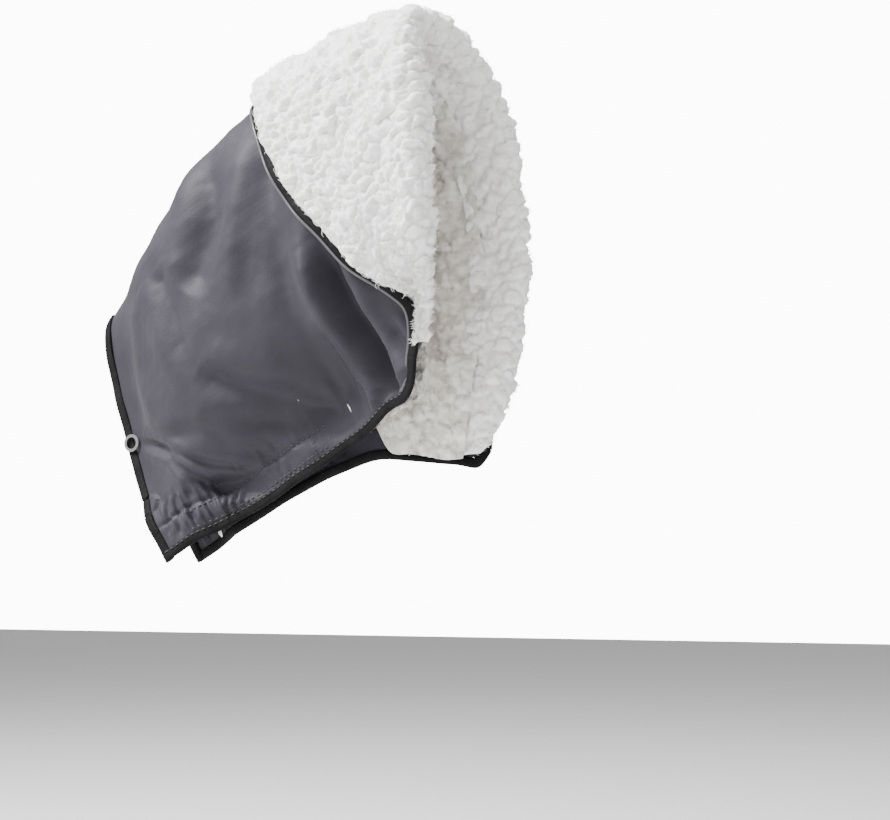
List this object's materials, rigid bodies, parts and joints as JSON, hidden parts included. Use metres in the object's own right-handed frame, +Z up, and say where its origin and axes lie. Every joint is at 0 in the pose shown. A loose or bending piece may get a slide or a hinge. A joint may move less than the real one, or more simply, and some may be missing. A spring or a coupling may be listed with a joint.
{
  "type": "hand warmer muff",
  "caption": "Fleece-lined fabric muff that encloses a push handle, with a turned-back fleece cuff at the hand opening and an openable lower edge.",
  "frame": {"origin": "on the axis of the handle grip that the muff encloses, in the plane of the hand opening", "axes": "+X runs out of the hand opening towards the user along the grip axis, +Z is up, +Y is the user's right; the two halves meet near the plane Y = 0"},
  "size_m": [0.2362, 0.1135, 0.2796],
  "materials": {
    "shell_fabric": "woven polyester with a satin sheen",
    "fleece": "deep curly sherpa pile",
    "binding": "black bias tape, fine weave",
    "interlining": "plain non-woven felt",
    "hook_loop": "black hook-and-loop tape",
    "snap_metal": "polished ring snap"
  },
  "bodies": {
    "left_half": {"left_shell": "shell_fabric", "left_interlining": "interlining", "left_lining": "fleece", "left_front_binding": "binding", "left_hem_binding": "binding", "left_cuff_facing": "shell_fabric", "left_cuff_binding": "binding", "left_cuff_fleece": "fleece", "hook_strip": "hook_loop", "left_snap_ring": "snap_metal", "snap_socket": "snap_metal"},
    "right_half": {"right_shell": "shell_fabric", "right_interlining": "interlining", "right_lining": "fleece", "right_front_binding": "binding", "right_hem_binding": "binding", "right_cuff_facing": "shell_fabric", "right_cuff_binding": "binding", "right_cuff_fleece": "fleece", "loop_strip": "hook_loop", "right_snap_ring": "snap_metal", "snap_stud": "snap_metal"}
  },
  "joints": [
    {"name": "right_half_swing", "type": "hinge", "parent": "left_half", "child": "right_half", "pos_m": [-0.108, 0, 0.0721], "axis": [0.7967, 0, 0.6044], "range_deg": [0, 24]}
  ]
}
